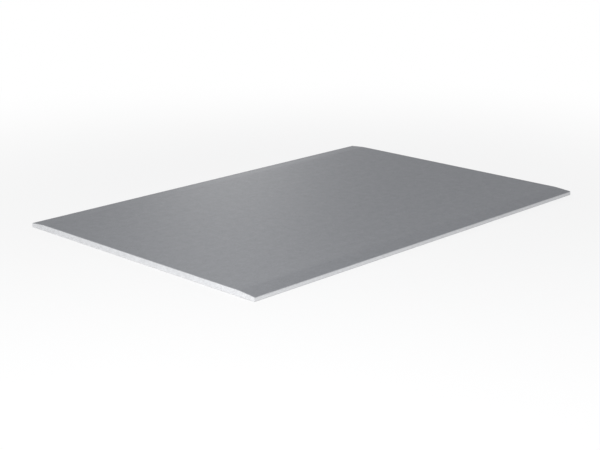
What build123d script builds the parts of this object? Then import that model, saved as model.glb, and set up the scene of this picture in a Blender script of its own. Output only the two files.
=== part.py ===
from build123d import *
import os

# Drywall sheet: a gypsum board with tapered, round-nosed long edges, lying on its back.
# X runs along the paper-bound long edges, Y across the sheet and Z out of its face.
# The origin is the middle of the back, on the surface that the sheet lies on.
# All sizes are in millimetres.

# Sheet
length = 1500.0
width = 1000.0
thickness = 18.0

# Long edges: the face falls in a straight taper, which a soft bend joins to the flat
# face and a round nose joins to the upright edge
taper_width = 60.0
taper_drop = 4.8
taper_bend_radius = 150.0
nose_radius = 3.2
back_corner_radius = 1.5

# Back: the face paper wraps the long edges and laps onto the back, and the back paper
# is glued over the laps, so that its two edges stand proud by the paper's thickness
lap_width = 28.0
back_paper_thickness = 0.4


def half_outline():
    """Half of the cross-section, from the middle of the face round one long edge to the back."""
    half_width = width / 2
    taper_start = half_width - taper_width
    back_paper_edge = half_width - lap_width
    # Each corner in turn, with the radius that rounds it
    corners = {
        (taper_start, thickness): taper_bend_radius,
        (half_width, thickness - taper_drop): nose_radius,
        (half_width, back_paper_thickness): back_corner_radius,
        (back_paper_edge, back_paper_thickness): 0,
        (back_paper_edge, 0): 0,
    }
    FilletPolyline((0, thickness), *corners, (0, 0), radius=corners.values())


def drywall_sheet():
    """The sheet: one cross-section all along its length, cut square at both ends."""
    with BuildPart() as sheet:
        with BuildSketch(Plane.YZ):
            with BuildLine():
                half_outline()
                mirror(about=Plane.YZ)
            make_face()
        extrude(amount=length / 2, both=True)
    return sheet.part


sheet = drywall_sheet()
sheet.label = "drywall_sheet"
print(f"sheet volume {sheet.volume / 1e9:.5f} m3, faces {len(sheet.faces())}")

os.makedirs("parts", exist_ok=True)
export_step(sheet, "parts/drywall_sheet.step")
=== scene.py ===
import math

import bpy
import numpy as np
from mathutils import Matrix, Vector


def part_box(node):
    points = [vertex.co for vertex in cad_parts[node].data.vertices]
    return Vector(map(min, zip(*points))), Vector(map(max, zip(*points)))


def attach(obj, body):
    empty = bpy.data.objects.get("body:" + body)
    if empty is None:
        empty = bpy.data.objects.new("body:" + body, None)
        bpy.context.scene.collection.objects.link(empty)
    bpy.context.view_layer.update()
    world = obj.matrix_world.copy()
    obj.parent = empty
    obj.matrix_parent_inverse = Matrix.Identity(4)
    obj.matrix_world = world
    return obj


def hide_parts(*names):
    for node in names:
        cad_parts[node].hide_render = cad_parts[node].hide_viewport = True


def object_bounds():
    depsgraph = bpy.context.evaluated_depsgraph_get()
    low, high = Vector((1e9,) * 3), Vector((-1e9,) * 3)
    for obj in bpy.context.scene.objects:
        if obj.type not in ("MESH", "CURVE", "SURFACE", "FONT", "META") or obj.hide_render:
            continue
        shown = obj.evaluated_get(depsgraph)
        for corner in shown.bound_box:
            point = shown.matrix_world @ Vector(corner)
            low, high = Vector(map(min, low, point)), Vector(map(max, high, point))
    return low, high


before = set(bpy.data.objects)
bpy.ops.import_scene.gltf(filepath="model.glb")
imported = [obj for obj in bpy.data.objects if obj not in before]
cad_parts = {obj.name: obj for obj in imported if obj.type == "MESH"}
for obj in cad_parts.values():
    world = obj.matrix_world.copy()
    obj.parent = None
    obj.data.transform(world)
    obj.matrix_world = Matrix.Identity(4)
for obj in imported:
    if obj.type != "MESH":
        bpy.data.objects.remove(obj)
cadLow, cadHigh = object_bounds()
low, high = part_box("drywall_sheet")
mm = 0.001
print("drywall sheet: frame loaded")

# The board as packed, with the edge sizes of its solid, which the papers follow
board = {
    "halfLength": (high.x - low.x) / 2,
    "halfWidth": (high.y - low.y) / 2,
    "thickness": high.z - low.z,
    "taperWidth": 60 * mm,
    "taperDrop": 4.8 * mm,
    "taperBend": 150 * mm,     # radius of the soft bend where the taper starts
    "noseRadius": 3.2 * mm,
    "backCorner": 1.5 * mm,
    "lapWidth": 28 * mm,       # wrapped face paper that shows on the back
    "paper": 0.4 * mm,         # thickness of each paper
    "endFray": 0.35 * mm,      # how unevenly the knife leaves the papers' ends
    "frayCell": 2.6 * mm,
    "bond": 0.02 * mm,         # hairline between a paper and what it is glued to
}


# Helpers for shapes

crispAngle = math.radians(35)  # corners sharper than this stay crisp in the shading
lattice = (2048, 64)           # cells after which a random pattern repeats


def roundedLine(corners, radii, arcSteps):
    # Straight runs with the inner corners rounded. An arc starts radius x tan(turn / 2) before
    # its corner, and its points are that start turned by even angles about the arc's centre.
    corners = [np.array(corner, float) for corner in corners]
    line = [corners[0][None]]
    for before, corner, after, radius in zip(corners, corners[1:], corners[2:], radii):
        arriving = (corner - before) / np.linalg.norm(corner - before)
        leaving = (after - corner) / np.linalg.norm(after - corner)
        turn = math.atan2(arriving[0] * leaving[1] - arriving[1] * leaving[0], arriving @ leaving)
        start = corner - arriving * radius * math.tan(abs(turn) / 2)
        centre = start + math.copysign(radius, turn) * np.array([-arriving[1], arriving[0]])
        angle = np.linspace(0, turn, arcSteps + 1)
        spoke = start - centre
        arc = [spoke[0] * np.cos(angle) - spoke[1] * np.sin(angle),
               spoke[0] * np.sin(angle) + spoke[1] * np.cos(angle)]
        line.append(centre + np.stack(arc, 1))
    return np.concatenate(line + [corners[-1][None]])


def divideLine(line, spacing):
    # The same line with more points: its own corners and one point every spacing along it
    run = np.concatenate([[0], np.cumsum(np.linalg.norm(np.diff(line, axis=0), axis=1))])
    stops = np.union1d(run, np.arange(0, run[-1], spacing))
    return np.stack([np.interp(stops, run, line[:, 0]), np.interp(stops, run, line[:, 1])], 1), stops


def insetLine(line, depth):
    # The line moved to its right by depth, along the mean direction of the two runs at each point
    run = np.diff(line, axis=0)
    run /= np.linalg.norm(run, axis=1)[:, None]
    tangent = np.concatenate([run[:1], run[:-1] + run[1:], run[-1:]])
    tangent /= np.linalg.norm(tangent, axis=1)[:, None]
    return line + depth * np.stack([tangent[:, 1], -tangent[:, 0]], 1)


def latticeNoise(u, v, cell, seed):
    # Random heights from 0 to 1 on a square lattice, blended between the nearest four by 3t^2 - 2t^3
    heights = np.random.default_rng(seed).random(lattice)
    column, row = np.floor(u / cell).astype(int), np.floor(v / cell).astype(int)
    s, t = u / cell - column, v / cell - row
    s, t = s * s * (3 - 2 * s), t * t * (3 - 2 * t)
    left, right = column % lattice[0], (column + 1) % lattice[0]
    near, far = row % lattice[1], (row + 1) % lattice[1]
    nearBlend = heights[left, near] * (1 - s) + heights[right, near] * s
    farBlend = heights[left, far] * (1 - s) + heights[right, far] * s
    return nearBlend * (1 - t) + farBlend * t


def poreDepth(u, v, cell, share, seed):
    # Air pores as bowls: one centre at random in each cell, some cells left empty, and each bowl
    # falls from 0 at its rim to its full depth in the middle as 1 - (distance / radius)^2. With its
    # random size the radius grows from 0.25 to 0.6 of a cell, and the depth from 0.4 to 1.
    du, dv, size, filled = np.random.default_rng(seed).random((4, *lattice))
    column, row = np.floor(u / cell).astype(int), np.floor(v / cell).astype(int)
    depth = np.zeros(u.shape)
    for i in (-1, 0, 1):
        for j in (-1, 0, 1):
            at = (column + i) % lattice[0], (row + j) % lattice[1]
            distance = np.hypot(u / cell - column - i - du[at], v / cell - row - j - dv[at])
            radius = 0.25 + 0.35 * size[at]
            bowl = np.clip(1 - (distance / radius) ** 2, 0, 1) * (0.4 + 0.6 * size[at])
            depth = np.maximum(depth, np.where(filled[at] < share, bowl, 0))
    return depth


def skinOfBlock(name, points, wrap, values):
    # The closed skin of a block of points (along, across, through): the block's six outer sheets
    # become quads that face outwards, and the points inside it are dropped. wrap is each point's
    # place on the flat, unwrapped layer, and values are named numbers kept at each point.
    index = np.arange(points[..., 0].size).reshape(points.shape[:3])
    sheets = [index[0], index[-1].T, index[:, 0].T, index[:, -1], index[:, :, 0], index[:, :, -1].T]
    quads = [np.stack([sheet[:-1, :-1], sheet[:-1, 1:], sheet[1:, 1:], sheet[1:, :-1]], -1).reshape(-1, 4)
             for sheet in sheets]
    used, quads = np.unique(np.concatenate(quads), return_inverse=True)
    mesh = bpy.data.meshes.new(name)
    mesh.from_pydata(points.reshape(-1, 3)[used], [], quads.reshape(-1, 4))
    corner = np.zeros(len(mesh.loops), np.int32)
    mesh.loops.foreach_get("vertex_index", corner)
    flatPlace = wrap.reshape(-1, 2)[used][corner].astype(np.float32)
    mesh.uv_layers.new(name="flatPlace").data.foreach_set("uv", flatPlace.ravel())
    for valueName, value in values.items():
        kept = np.broadcast_to(value, points.shape[:3]).ravel()[used].astype(np.float32)
        mesh.attributes.new(valueName, "FLOAT", "POINT").data.foreach_set("value", kept)
    mesh.shade_smooth()
    mesh.set_sharp_from_angle(angle=crispAngle)
    piece = bpy.data.objects.new(name, mesh)
    bpy.context.scene.collection.objects.link(piece)
    return piece


# Helpers for materials

def linearColour(hexColour):
    # sRGB hex to linear light: c / 12.92 in the darks, ((c + 0.055) / 1.055) ^ 2.4 above them
    c = np.array([int(hexColour[i:i + 2], 16) for i in (0, 2, 4)]) / 255
    return (*np.where(c <= 0.04045, c / 12.92, ((c + 0.055) / 1.055) ** 2.4), 1.0)


def addNode(tree, kind, settings=None):
    # One node. Each setting is a property or an input of it: an input is linked when its value
    # is an output, or a node, which stands for that node's first output in use, and set if not.
    node = tree.nodes.new(kind)
    inputs = {socket.identifier: socket for socket in node.inputs}
    for key, value in (settings or {}).items():
        if isinstance(value, bpy.types.Node):
            value = next(socket for socket in value.outputs if socket.enabled)
        if isinstance(value, bpy.types.NodeSocket):
            tree.links.new(value, inputs[key])
        elif key in inputs:
            inputs[key].default_value = value
        else:
            setattr(node, key, value)
    return node


def newMaterial(name):
    material = bpy.data.materials.new(name)
    material.use_nodes = True
    material.node_tree.nodes.clear()
    return material


# What the two liner boards have in common, beside the values that each paper has of its own
liner = {
    "bandStretch": 0.01,       # the bands run a hundred times further along the web than across it
    "fibreStretch": 0.3,
    "cloudShare": 0.25,        # weight of the clouds in the tone, where the fibres have 1
    "bandShare": 0.1,
    "toneRange": (0.45, 0.9),  # weighted sums at which the tone is the deeper and the paler grey
    "fleckSize": (0.03, 0.08),  # radii of a fleck's dark middle and of its rim, in cells
    "fleckShare": 0.42,        # random tone of a cell under which it has a fleck
    "fleckTone": 0.7,
    "paintedLightRange": (0.3, 0.6),   # fibre heights at which the painted light on the upright edge is at its least and whole
    "paintedLightLeast": 0.7,
    "dustMost": 0.5,
    "sheenRange": (0.3, 0.7),  # fibre heights between which the roughness changes
    "sheenSpread": 0.03,
    "specular": 0.12,          # paper is open between its fibres and reflects little
    "ior": 1.5,
}


def linerBoard(name, paper):
    # Grey liner board, pressed from several plies of recycled pulp. The eye gets an even grey with
    # faint clouds, bands and fibres that run along the web, a few dark flecks and a low sheen, and
    # next to the knife's cut a trace of white dust.
    material = newMaterial(name)
    tree = material.node_tree
    flat = addNode(tree, "ShaderNodeUVMap", {"uv_map": "flatPlace"})
    alongBands = addNode(tree, "ShaderNodeMapping", {"Vector": flat, "Scale": (liner["bandStretch"], 1, 1)})
    alongFibres = addNode(tree, "ShaderNodeMapping", {"Vector": flat,
                                                      "Scale": (liner["fibreStretch"], 1, 1)})
    cloud = addNode(tree, "ShaderNodeTexNoise", {"Vector": flat, "Scale": 1 / paper["cloud"], "Detail": 5})
    band = addNode(tree, "ShaderNodeTexNoise", {"Vector": alongBands, "Scale": 1 / paper["band"],
                                                "Detail": 2})
    fibre = addNode(tree, "ShaderNodeTexNoise", {"Vector": alongFibres, "Scale": 1 / paper["fibre"],
                                                 "Detail": 6, "Roughness": 0.65, "Distortion": 1.2})

    # Tone: the fibres with less of the clouds and bands, from the deeper grey to the paler one
    clouded = addNode(tree, "ShaderNodeMath", {"operation": "MULTIPLY_ADD", "Value": cloud,
                                               "Value_001": liner["cloudShare"], "Value_002": fibre})
    banded = addNode(tree, "ShaderNodeMath", {"operation": "MULTIPLY_ADD", "Value": band,
                                              "Value_001": liner["bandShare"], "Value_002": clouded})
    tone = addNode(tree, "ShaderNodeMapRange", {"Value": banded, "From Min": liner["toneRange"][0],
                                                "From Max": liner["toneRange"][1]})
    pulp = addNode(tree, "ShaderNodeMix", {"data_type": "RGBA", "Factor_Float": tone,
                                           "A_Color": linearColour(paper["greyDeep"]),
                                           "B_Color": linearColour(paper["greyPale"])})

    # Flecks: one dot in each cell of a loose grid, kept in about two cells of five
    cell = addNode(tree, "ShaderNodeTexVoronoi", {"Vector": flat, "Scale": 1 / paper["fleckCell"]})
    dot = addNode(tree, "ShaderNodeMapRange", {"Value": cell.outputs["Distance"],
                                               "From Min": liner["fleckSize"][0],
                                               "From Max": liner["fleckSize"][1],
                                               "To Min": liner["fleckTone"], "To Max": 0})
    chosen = addNode(tree, "ShaderNodeMath", {"operation": "LESS_THAN", "Value": cell.outputs["Color"],
                                              "Value_001": liner["fleckShare"]})
    keptDot = addNode(tree, "ShaderNodeMath", {"operation": "MULTIPLY", "Value": dot, "Value_001": chosen})
    flecked = addNode(tree, "ShaderNodeMix", {"data_type": "RGBA", "Factor_Float": keptDot,
                                              "A_Color": pulp, "B_Color": linearColour(paper["fleck"])})

    # Painted light on the upright edges: the share of pale tone that the mesh holds, a little broken up by
    # the fibres
    share = addNode(tree, "ShaderNodeAttribute", {"attribute_name": "paintedLightShare"})
    paintedLightBreakup = addNode(tree, "ShaderNodeMapRange", {"Value": fibre, "From Min": liner["paintedLightRange"][0],
                                                "From Max": liner["paintedLightRange"][1],
                                                "To Min": liner["paintedLightLeast"]})
    paintedLightMix = addNode(tree, "ShaderNodeMath", {"operation": "MULTIPLY", "Value": share.outputs["Fac"],
                                                 "Value_001": paintedLightBreakup})
    paintedLightEdge = addNode(tree, "ShaderNodeMix", {"data_type": "RGBA", "Factor_Float": paintedLightMix,
                                             "A_Color": flecked, "B_Color": linearColour(paper["edge"])})

    # Dust: strongest at the cut, gone a few millimetres from it, and patchy
    place = addNode(tree, "ShaderNodeSeparateXYZ", {"Vector": flat})
    fromMiddle = addNode(tree, "ShaderNodeMath", {"operation": "ABSOLUTE", "Value": place.outputs["X"]})
    nearCut = addNode(tree, "ShaderNodeMapRange", {"Value": fromMiddle, "To Max": liner["dustMost"],
                                                   "From Min": board["halfLength"] - paper["dust"],
                                                   "From Max": board["halfLength"]})
    patchy = addNode(tree, "ShaderNodeMath", {"operation": "MULTIPLY", "Value": nearCut,
                                              "Value_001": fibre})
    dusted = addNode(tree, "ShaderNodeMix", {"data_type": "RGBA", "Factor_Float": patchy,
                                             "A_Color": paintedLightEdge, "B_Color": linearColour(paper["dustTone"])})

    # Surface: a little rougher on the fibres than between them, and raised by them
    sheen = addNode(tree, "ShaderNodeMapRange", {"Value": fibre, "From Min": liner["sheenRange"][0],
                                                 "From Max": liner["sheenRange"][1],
                                                 "To Min": paper["roughness"] - liner["sheenSpread"],
                                                 "To Max": paper["roughness"] + liner["sheenSpread"]})
    relief = addNode(tree, "ShaderNodeBump", {"Height": fibre, "Distance": paper["relief"]})
    shader = addNode(tree, "ShaderNodeBsdfPrincipled", {"Base Color": dusted, "Roughness": sheen,
                                                        "Normal": relief, "IOR": liner["ior"],
                                                        "Specular IOR Level": liner["specular"]})
    addNode(tree, "ShaderNodeOutputMaterial", {"Surface": shader})
    return material


# Face paper: one web that covers the face, wraps both long edges and laps onto the back

facePaper = {
    "underBack": 12 * mm,      # how far its laps run on under the back paper
    "arcSteps": 12,
    "stations": 9,
    "spacing": 1.9 * mm,       # of the points across it, fine enough for its frayed ends
    "greyDeep": "727478",
    "greyPale": "8A8C91",
    "edge": "DADBDD",          # painted light: the upright edges drawn far paler than the face, as if more light fell on them
    "fleck": "48494C",
    "dustTone": "DCDDDF",
    "dust": 4 * mm,            # how far from the cut the dust lies
    "cloud": 26 * mm,          # clumps of pulp, really 5 to 10 mm, drawn coarse enough to show
    "band": 7 * mm,            # width of the faint bands that the press leaves
    "fibre": 2.2 * mm,         # fibres are really 0.03 mm wide, drawn coarse enough to show
    "fleckCell": 18 * mm,      # spacing of the loose grid that the flecks lie in
    "relief": 0.03 * mm,
    "roughness": 0.55,         # calendered: pressed smooth between rollers
}


def faceLine():
    # From the end of one lap, round the edge and over the face to the end of the other lap
    taperStart = board["halfWidth"] - board["taperWidth"]
    lapEnd = board["halfWidth"] - board["lapWidth"] - facePaper["underBack"]
    corners = [
        (0, board["thickness"]),
        (taperStart, board["thickness"]),
        (board["halfWidth"], board["thickness"] - board["taperDrop"]),
        (board["halfWidth"], board["paper"]),
        (lapEnd, board["paper"]),
    ]
    radii = [board["taperBend"], board["noseRadius"], board["backCorner"]]
    half = roundedLine(corners, radii, facePaper["arcSteps"])
    return np.concatenate([half[:0:-1] * [-1, 1], half])


def makeFacePaper():
    # The profile and its inset carried straight along X, with only the two ends pulled in unevenly
    outer, run = divideLine(faceLine(), facePaper["spacing"])
    run -= run[-1] / 2
    points = np.zeros((facePaper["stations"], len(outer), 2, 3))
    x = np.linspace(-board["halfLength"], board["halfLength"], facePaper["stations"])
    points[..., 0] = x[:, None, None]
    points[:, :, 0, 1:] = insetLine(outer, board["paper"])
    points[:, :, 1, 1:] = outer
    for end, seed in ((0, 11), (-1, 12)):
        fray = latticeNoise(run, 0 * run, board["frayCell"], seed)
        points[end, :, :, 0] *= 1 - fray[:, None] * board["endFray"] / board["halfLength"]
    flatPlace = np.stack(np.broadcast_arrays(points[..., 0], run[:, None]), -1)
    # The painted light on the upright edge comes in down the nose and goes out again round the back corner
    down = (board["thickness"] - board["taperDrop"] - outer[:, 1]) / board["noseRadius"]
    up = (outer[:, 1] - board["paper"]) / board["backCorner"]
    paintedLightShare = np.clip(np.minimum(down, up), 0, 1)[:, None]
    return skinOfBlock("face_paper", points, flatPlace, {"paintedLightShare": paintedLightShare})


# Back paper: a flat web glued over the laps of the face paper

backPaper = {
    "stations": 61,            # along the sheet, enough for its wandering edges
    "columns": 401,            # across it, enough for its frayed ends
    "edgeWander": 0.8 * mm,    # how far its trimmed edges stray
    "wanderCell": 90 * mm,
    "greyDeep": "7F7E7B",
    "greyPale": "949390",
    "edge": "949390",
    "fleck": "55544F",
    "dustTone": "DCDDDF",
    "dust": 4 * mm,
    "cloud": 20 * mm,
    "band": 11 * mm,
    "fibre": 1.8 * mm,
    "fleckCell": 9 * mm,
    "relief": 0.06 * mm,
    "roughness": 0.84,         # left as it comes from the press, not calendered
}


def makeBackPaper():
    # A slab between two wandering edges, evenly divided from one to the other
    x = np.linspace(-board["halfLength"], board["halfLength"], backPaper["stations"])
    edge = board["halfWidth"] - board["lapWidth"]
    stray = [backPaper["edgeWander"] * latticeNoise(x, 0 * x, backPaper["wanderCell"], seed)
             for seed in (21, 22)]
    left, right = (stray[0] - edge)[:, None], (edge - stray[1])[:, None]
    share = np.linspace(0, 1, backPaper["columns"])
    points = np.zeros((len(x), len(share), 2, 3))
    points[..., 0] = x[:, None, None]
    points[..., 1] = (left * (1 - share) + right * share)[..., None]
    points[:, :, 1, 2] = board["paper"] - board["bond"]
    for end, seed in ((0, 23), (-1, 24)):
        fray = latticeNoise(share * 2 * edge, 0 * share, board["frayCell"], seed)
        points[end, :, :, 0] *= 1 - fray[:, None] * board["endFray"] / board["halfLength"]
    return skinOfBlock("back_paper", points, points[..., :2], {"paintedLightShare": 0})


# Gypsum core: the cast filling, seen only at the two cut ends

gypsumCore = {
    "column": 0.75 * mm,       # spacing of the points on the cut ends
    "rows": 25,
    "nose": 6 * mm,            # beside each long edge the points close up to follow its rounding
    "noseColumns": 12,
    "step": 1 * mm,            # where the filling comes down from the laps to the back paper
    "setBack": 0.15 * mm,      # the knife drags the core a little behind the papers
    "tear": 0.35 * mm,
    "tearCell": 9 * mm,
    "pore": 0.7 * mm,          # depth of the deepest pores
    "poreCell": 2.1 * mm,
    "poreShare": 0.4,
    "denseLayer": 1.6 * mm,    # plaster without foam next to the papers, where tears and pores fade out
    "deep": "D9DADC",
    "pale": "EBECEE",
    # painted shade: the grey that darkens the pores
    "poreShadeColour": "CDCED1",
    "rimGrain": 0.6,           # how far the grain roughens the rims of the mesh's pores
    "rimRange": (0.44, 0.72),  # depth, with the grain added, at a pore's rim and at its full painted shade
    "finePore": 1.3 * mm,      # cells of the pores too fine for the mesh, which the material paints as dots of shade and as bumps
    "fineSpread": 0.4,         # how far their radii differ, in cells
    "fineRange": (-0.08, 0.06),  # distance, less that spread, at their full painted shade and at their rims
    "poreShade": 0.8,          # share of the painted shade colour in the pores' middle
    "patch": 14 * mm,
    "grain": 0.9 * mm,         # clumps of crystals, really 0.05 mm, drawn coarse enough to show
    "grainStretch": 0.2,       # the knife draws the grain out upwards
    "toneRange": (0.7, 1.3),   # sums of patch and grain at which the tone is the deeper and the paler one
    "relief": 0.06 * mm,
    "roughness": 0.93,         # broken crystals, with no skin at all
    "ior": 1.52,
}


def makeGypsumCore():
    # Columns across the sheet, each divided evenly from the filling's underside to its top. Both
    # are read off the inside of the face paper's line, above and below the upright run of its edge.
    # Beside the long edges the columns close up as the sine of an evenly divided quarter turn.
    inside = insetLine(faceLine(), board["paper"] + board["bond"])
    inside = inside[len(inside) // 2:]
    onTop = inside[:, 1] > board["thickness"] / 3
    upper, lower = inside[onTop], inside[~onTop][::-1]
    side = upper[-1, 0]
    flat = side - gypsumCore["nose"]
    turn = np.linspace(0, math.pi / 2, gypsumCore["noseColumns"])[1:]
    closing = flat + gypsumCore["nose"] * np.sin(turn)
    even = np.linspace(-flat, flat, round(2 * flat / gypsumCore["column"]))
    y = np.concatenate([-closing[::-1], even, closing])
    overLap = np.clip((np.abs(y) - lower[0, 0]) / gypsumCore["step"] + 1, 0, 1)
    top = np.interp(np.abs(y), upper[:, 0], upper[:, 1])
    underside = np.interp(np.abs(y), lower[:, 0], lower[:, 1]) * overLap + board["paper"] * (1 - overLap)
    share = np.linspace(0, 1, gypsumCore["rows"])
    points = np.zeros((2, len(y), gypsumCore["rows"], 3))
    points[..., 1] = y[:, None]
    points[..., 2] = underside[:, None] * (1 - share) + top[:, None] * share
    # The two ends are torn and pitted, less and less within the dense layer under the papers
    toPaper = np.minimum(share, 1 - share) * (top - underside)[:, None]
    toPaper = np.minimum(toPaper, (side - np.abs(y))[:, None])
    foamed = np.clip(toPaper / gypsumCore["denseLayer"], 0, 1)
    pit = np.zeros(points.shape[:3])
    for end, seed in ((0, 31), (1, 41)):
        across, up = points[end, ..., 1], points[end, ..., 2]
        pit[end] = poreDepth(across, up, gypsumCore["poreCell"], gypsumCore["poreShare"], seed) * foamed
        tear = gypsumCore["tear"] * latticeNoise(across, up, gypsumCore["tearCell"], seed + 1) * foamed
        depth = gypsumCore["setBack"] + tear + gypsumCore["pore"] * pit[end]
        points[end, ..., 0] = (2 * end - 1) * (board["halfLength"] - depth)
    return skinOfBlock("gypsum_core", points, points[..., 1:], {"pit": pit})


def cutGypsum():
    # Gypsum foamed with air, cast between the papers, cut and dried: the eye gets a chalky white,
    # dead matt and finely pitted, with a little grey painted into the pores as shade
    material = newMaterial("cutGypsum")
    tree = material.node_tree
    place = addNode(tree, "ShaderNodeTexCoord").outputs["Object"]
    alongKnife = addNode(tree, "ShaderNodeMapping", {"Vector": place,
                                                     "Scale": (1, 1, gypsumCore["grainStretch"])})
    patch = addNode(tree, "ShaderNodeTexNoise", {"Vector": place, "Scale": 1 / gypsumCore["patch"],
                                                 "Detail": 3})
    grain = addNode(tree, "ShaderNodeTexNoise", {"Vector": alongKnife, "Scale": 1 / gypsumCore["grain"],
                                                 "Detail": 4})
    both = addNode(tree, "ShaderNodeMath", {"operation": "ADD", "Value": patch, "Value_001": grain})
    tone = addNode(tree, "ShaderNodeMapRange", {"Value": both, "From Min": gypsumCore["toneRange"][0],
                                                "From Max": gypsumCore["toneRange"][1]})
    chalk = addNode(tree, "ShaderNodeMix", {"data_type": "RGBA", "Factor_Float": tone,
                                            "A_Color": linearColour(gypsumCore["deep"]),
                                            "B_Color": linearColour(gypsumCore["pale"])})

    # Pores: the mesh's own, whose rims the grain roughens, and finer ones, which are balls of mixed
    # sizes scattered in space and cut by the surface. Both are painted grey as shade and set lower in the
    # bump
    pit = addNode(tree, "ShaderNodeAttribute", {"attribute_name": "pit"})
    rough = addNode(tree, "ShaderNodeMath", {"operation": "MULTIPLY_ADD", "Value": grain,
                                             "Value_001": gypsumCore["rimGrain"],
                                             "Value_002": pit.outputs["Fac"]})
    widePoreShadeAndDepth = addNode(tree, "ShaderNodeMapRange", {"Value": rough, "From Min": gypsumCore["rimRange"][0],
                                                   "From Max": gypsumCore["rimRange"][1],
                                                   "To Max": gypsumCore["poreShade"]})
    scatter = addNode(tree, "ShaderNodeTexVoronoi", {"Vector": place, "Scale": 1 / gypsumCore["finePore"]})
    sized = addNode(tree, "ShaderNodeMath", {"operation": "MULTIPLY_ADD",
                                             "Value": scatter.outputs["Color"],
                                             "Value_001": -gypsumCore["fineSpread"],
                                             "Value_002": scatter.outputs["Distance"]})
    finePoreShadeAndDepth = addNode(tree, "ShaderNodeMapRange", {"Value": sized, "From Min": gypsumCore["fineRange"][0],
                                                   "From Max": gypsumCore["fineRange"][1],
                                                   "To Min": gypsumCore["poreShade"], "To Max": 0})
    deepest = addNode(tree, "ShaderNodeMath", {"operation": "MAXIMUM", "Value": widePoreShadeAndDepth,
                                               "Value_001": finePoreShadeAndDepth})
    # Painted shade: the chalk mixed darker in the pores, whose depth also lowers the bump
    pitted = addNode(tree, "ShaderNodeMix", {"data_type": "RGBA", "Factor_Float": deepest,
                                             "A_Color": chalk,
                                             "B_Color": linearColour(gypsumCore["poreShadeColour"])})
    height = addNode(tree, "ShaderNodeMath", {"operation": "SUBTRACT", "Value": grain,
                                              "Value_001": deepest})
    relief = addNode(tree, "ShaderNodeBump", {"Height": height, "Distance": gypsumCore["relief"]})
    shader = addNode(tree, "ShaderNodeBsdfPrincipled", {"Base Color": pitted, "Normal": relief,
                                                        "Roughness": gypsumCore["roughness"],
                                                        "IOR": gypsumCore["ior"]})
    addNode(tree, "ShaderNodeOutputMaterial", {"Surface": shader})
    return material


# The three layers take the solid's place and ride with it

for piece, material in ((makeFacePaper(), linerBoard("calenderedLinerBoard", facePaper)),
                        (makeBackPaper(), linerBoard("roughLinerBoard", backPaper)),
                        (makeGypsumCore(), cutGypsum())):
    piece.data.materials.append(material)
    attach(piece, "root")
    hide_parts("drywall_sheet")
    print(f"drywall sheet: {piece.name} made of {len(piece.data.polygons)} faces")


# Studio: a pale floor, white surroundings, one large soft lamp and a weaker one across from it

studio = {
    "floorSize": 40.0,
    "floorGap": 0.2 * mm,      # keeps the floor just clear of the back
    "floorColour": "F2F2F3",
    "floorWhite": 0.7,         # share of plain white that the camera sees in the floor at the object
    "floorFade": (0.6, 2.6),   # distances between which the rest of the floor becomes plain white
    "worldLevel": 0.58,        # even light from all round
    "keyPower": 56.0,
    "keyPlace": (-2.5, -1.9, 1.7),
    "keySize": 1.8,
    "sheenPower": 14.0,
    "sheenPlace": (2.05, 2.65, 1.05),
    "sheenSize": 0.9,
}


def makeFloor():
    # A matt floor, which the camera sees mixed with plain white, and quite white further out
    corners = np.array([[-1, -1, 0], [1, -1, 0], [1, 1, 0], [-1, 1, 0]]) * studio["floorSize"] / 2
    corners[:, 2] = cadLow.z - studio["floorGap"]
    mesh = bpy.data.meshes.new("floor")
    mesh.from_pydata(corners, [], [(0, 1, 2, 3)])
    floor = bpy.data.objects.new("floor", mesh)
    bpy.context.scene.collection.objects.link(floor)
    material = newMaterial("paleStudioFloor")
    tree = material.node_tree
    rays = addNode(tree, "ShaderNodeLightPath")
    place = addNode(tree, "ShaderNodeTexCoord").outputs["Object"]
    distance = addNode(tree, "ShaderNodeVectorMath", {"operation": "LENGTH", "Vector": place})
    share = addNode(tree, "ShaderNodeMapRange", {"interpolation_type": "SMOOTHSTEP", "Value": distance,
                                                 "From Min": studio["floorFade"][0],
                                                 "From Max": studio["floorFade"][1],
                                                 "To Min": studio["floorWhite"], "To Max": 1.0})
    white = addNode(tree, "ShaderNodeMath", {"operation": "MULTIPLY", "Value_001": share,
                                             "Value": rays.outputs["Is Camera Ray"]})
    paint = addNode(tree, "ShaderNodeBsdfDiffuse", {"Color": linearColour(studio["floorColour"])})
    glow = addNode(tree, "ShaderNodeEmission", {"Strength": 1.0})
    mixed = addNode(tree, "ShaderNodeMixShader", {"Fac": white, "Shader": paint, "Shader_001": glow})
    addNode(tree, "ShaderNodeOutputMaterial", {"Surface": mixed})
    mesh.materials.append(material)


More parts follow.
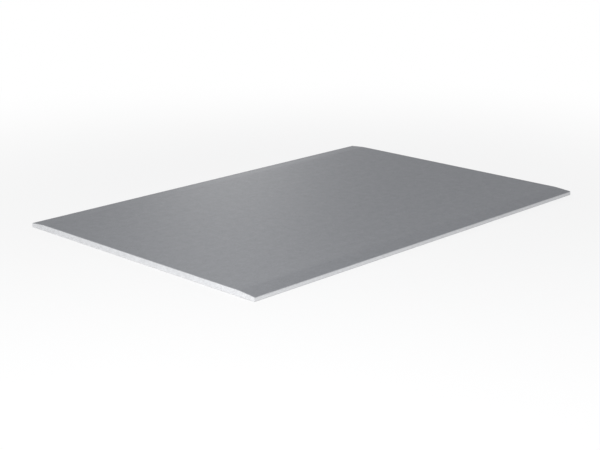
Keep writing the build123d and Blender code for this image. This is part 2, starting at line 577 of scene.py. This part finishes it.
def makeWorld():
    # Plain white where the camera, a gloss or glass looks at it, and dimmer as a light
    world = bpy.data.worlds.new("studio")
    bpy.context.scene.world = world
    world.use_nodes = True
    tree = world.node_tree
    tree.nodes.clear()
    rays = addNode(tree, "ShaderNodeLightPath").outputs
    inGloss = addNode(tree, "ShaderNodeMath", {"operation": "MAXIMUM", "Value": rays["Is Glossy Ray"],
                                               "Value_001": rays["Is Transmission Ray"]})
    seen = addNode(tree, "ShaderNodeMath", {"operation": "MAXIMUM", "Value": rays["Is Camera Ray"],
                                            "Value_001": inGloss})
    level = addNode(tree, "ShaderNodeMapRange", {"Value": seen, "To Min": studio["worldLevel"],
                                                 "To Max": 1.0})
    light = addNode(tree, "ShaderNodeBackground", {"Color": (1, 1, 1, 1), "Strength": level})
    addNode(tree, "ShaderNodeOutputWorld", {"Surface": light})


def addLamp(name):
    # A soft disc that shines at the middle of the sheet and doesn't show itself
    lamp = bpy.data.lights.new(name, "AREA")
    lamp.shape = "DISK"
    lamp.energy = studio[name + "Power"]
    lamp.size = studio[name + "Size"]
    holder = bpy.data.objects.new(name, lamp)
    holder.location = studio[name + "Place"]
    holder.rotation_euler = holder.location.to_track_quat("Z", "Y").to_euler()
    holder.visible_camera = False
    bpy.context.scene.collection.objects.link(holder)


# Camera: three-quarter view of one cut end and one long edge, from a little above

view = {
    "azimuth": 46.0,           # degrees from -Y towards -X
    "elevation": 16.4,
    "distance": 4.27,
    "lens": 78.0,
    "aim": (-0.03, 0.03, -0.05),  # centres the sheet in the picture
}


def makeCamera():
    # It stands off from its aim, in the direction that azimuth and elevation give, and looks back
    azimuth, elevation = math.radians(view["azimuth"]), math.radians(view["elevation"])
    towards = Vector((-math.sin(azimuth) * math.cos(elevation), -math.cos(azimuth) * math.cos(elevation),
                      math.sin(elevation)))
    lensData = bpy.data.cameras.new("camera")
    lensData.lens = view["lens"]
    camera = bpy.data.objects.new("camera", lensData)
    camera.location = Vector(view["aim"]) + towards * view["distance"]
    camera.rotation_euler = towards.to_track_quat("Z", "Y").to_euler()
    bpy.context.scene.collection.objects.link(camera)
    bpy.context.scene.camera = camera


makeFloor()
makeWorld()
addLamp("key")
addLamp("sheen")
makeCamera()
bpy.context.scene.view_settings.view_transform = "Standard"
print("drywall sheet: studio, lamps and camera set")
